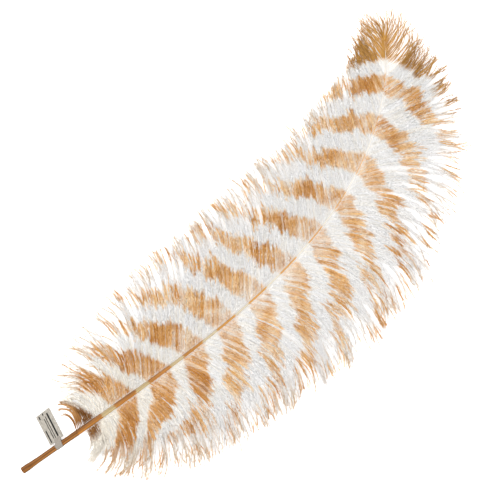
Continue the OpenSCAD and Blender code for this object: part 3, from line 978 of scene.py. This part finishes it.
def label(paper, strap):
    """The strap's inner turn, its outer loop with two tails, and the card between the tails."""
    lo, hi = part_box("strap_inner_turn")
    middle, width = (lo.x + hi.x) / 2 / MM, (hi.x - lo.x) / MM
    turn = circle_path(INNER_R, 95, 450, 90)
    band_strip("strap_inner_wrap", turn, middle, width, STRAP_THICK * 0.9, strap, "strap", "strap_inner_turn")
    offset = CARD_THICK / 2 + STRAP_THICK / 2 + 0.02
    tangent = math.acos(LOOP_R / math.hypot(TAIL_REACH, offset)) + math.atan2(offset, TAIL_REACH)
    tangent = math.degrees(tangent)
    arc = circle_path(LOOP_R, tangent, 360 - tangent, 60)
    top = [(TAIL_REACH + TAIL_OVERLAP * k, offset) for k in np.linspace(1, 0, 8)]
    path = np.array(top + arc + [(y, -z) for y, z in reversed(top)])
    share = smooth(path[:, 0], -3.0, 7.0)
    place, wide = middle + TAIL_SHIFT * share, width - TAIL_NARROWING * share
    band_strip("strap_loop_wrap", drooped(path), place, wide, STRAP_THICK, strap, "label", "strap_loop")
    card(paper)


def card(paper):
    """The card: a slightly curled skewed sheet, leaning towards the tip and drooping to the table."""
    lo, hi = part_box("label_card")
    centre = ((lo.x + hi.x) / 2 / MM, (lo.y + hi.y) / 2 / MM)
    columns, rows = 26, 52
    local = np.random.default_rng(33)
    a, b = np.meshgrid(np.linspace(0, 1, columns), np.linspace(0, 1, rows))
    x, y = (a - 0.5) * CARD_SIZE[0], (b - 0.5) * CARD_SIZE[1] + (a - 0.5) * CARD_SKEW
    rim = np.minimum(np.minimum(a, 1 - a) * columns, np.minimum(b, 1 - b) * rows) < 0.5
    x = x + rim * local.normal(0, 0.05, x.shape)
    y = y + rim * local.normal(0, 0.06, y.shape)
    curl = 0.55 * (2 * a - 1) ** 2 * smooth(b, 0.2, 1.0) + 0.35 * smooth(b, 0.5, 1.0) ** 2
    lean = math.radians(-CARD_LEAN)
    flat_x = centre[0] + x * math.cos(lean) - y * math.sin(lean)
    flat_y = centre[1] + x * math.sin(lean) + y * math.cos(lean)
    droop = math.radians(CARD_DROOP)
    layers = []
    for sign in (1, -1):
        z = curl + sign * CARD_THICK / 2
        low_y = flat_y * math.cos(droop) + z * math.sin(droop)
        low_z = z * math.cos(droop) - flat_y * math.sin(droop)
        layers.append(np.stack([flat_x, low_y, low_z], -1))
    ring = np.concatenate([layers[0], layers[1][:, ::-1]], 1)
    size = ring.shape[1]
    faces = grid_triangles(rows, size, True)[:, ::-1]
    first = strip_cap(np.arange(size))[:, ::-1]
    last = strip_cap(np.arange(size) + (rows - 1) * size)
    values = {"across": np.concatenate([a, a[:, ::-1]], 1).ravel(), "tall": np.concatenate([b, b], 1).ravel()}
    values["upper"] = np.concatenate([np.ones_like(a), np.zeros_like(a)], 1).ravel()
    faces = np.concatenate([faces, first, last])
    piece = make_piece("label_card_paper", ring.reshape(-1, 3), faces, paper, values)
    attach(piece, "label")
    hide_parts("label_card")


# ---- Stage ----

# Area lamps: name, place and size in metres, and power in watts.
LAMPS = [("key", (-0.5, 1.3, 1.9), 1.6, 29), ("fill", (1.3, -0.7, 1.9), 1.8, 11)]
FLOOR_SIZE = 30
FLOOR_GAP = 0.0002
FLOOR_TONE = (0.93, 0.93, 0.935, 1)
FLOOR_GLOW = 0.45
SKY_TONE = (1.0, 0.99, 0.975, 1)
SKY_STRENGTH = 1.3


def stage():
    """A plain white floor, a pale sky and two soft lamps."""
    scene = bpy.context.scene
    bpy.ops.mesh.primitive_plane_add(size=FLOOR_SIZE, location=(0.3, 0, FLOOR_Z * MM - FLOOR_GAP))
    floor = bpy.context.object
    floor.name = "floor"
    material, _, shader = new_material("floor_white", 0.9)
    shader.inputs["Base Color"].default_value = FLOOR_TONE
    shader.inputs["Specular IOR Level"].default_value = 0.1
    shader.inputs["Emission Color"].default_value = (1, 1, 1, 1)
    shader.inputs["Emission Strength"].default_value = FLOOR_GLOW
    floor.data.materials.append(material)
    world = bpy.data.worlds.new("studio")
    scene.world = world
    world.use_nodes = True
    background = world.node_tree.nodes["Background"]
    background.inputs["Color"].default_value = SKY_TONE
    background.inputs["Strength"].default_value = SKY_STRENGTH
    for name, place, size, power in LAMPS:
        lamp = bpy.data.lights.new(name, "AREA")
        lamp.size = size
        lamp.energy = power
        holder = bpy.data.objects.new(name, lamp)
        scene.collection.objects.link(holder)
        holder.location = place
        aim = centre_of_plume() - holder.location
        holder.rotation_euler = aim.to_track_quat("-Z", "Y").to_euler()
    scene.view_settings.view_transform = "Standard"


def centre_of_plume():
    return (CAD_BOX[0] + CAD_BOX[1]) / 2


# The picture looks straight down, with the stem rising from lower left: the stem's tilt in degrees, and in
# metres the width in view, the camera's height and the point under it.
STEM_TILT = 34.8
VIEW_WIDTH = 0.5
CAMERA_HEIGHT = 1.4
VIEW_CENTRE = (0.31285, 0.0515)


def camera():
    data = bpy.data.cameras.new("camera")
    data.lens = data.sensor_width * CAMERA_HEIGHT / VIEW_WIDTH
    holder = bpy.data.objects.new("camera", data)
    bpy.context.scene.collection.objects.link(holder)
    holder.location = (*VIEW_CENTRE, CAMERA_HEIGHT)
    holder.rotation_euler = (0, 0, -math.radians(STEM_TILT))
    bpy.context.scene.camera = holder


def dress(node, material):
    """Gives a CAD node that stays in view its own material."""
    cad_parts[node].data.materials.clear()
    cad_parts[node].data.materials.append(material)


barb_look = barb_material()
vane(barb_look)
tip_fan(barb_look)
barrel(horn_material())
shaft(rachis_material())
label(paper_material(), strap_material())
dress("pith", plain_material("pith_foam", CREAM, WHITE_WARM, 0.9, 1500.0))
dress("pulp_caps", plain_material("pulp_membrane", CREAM_DEEP, CREAM, 0.6, 900.0))
stage()
camera()
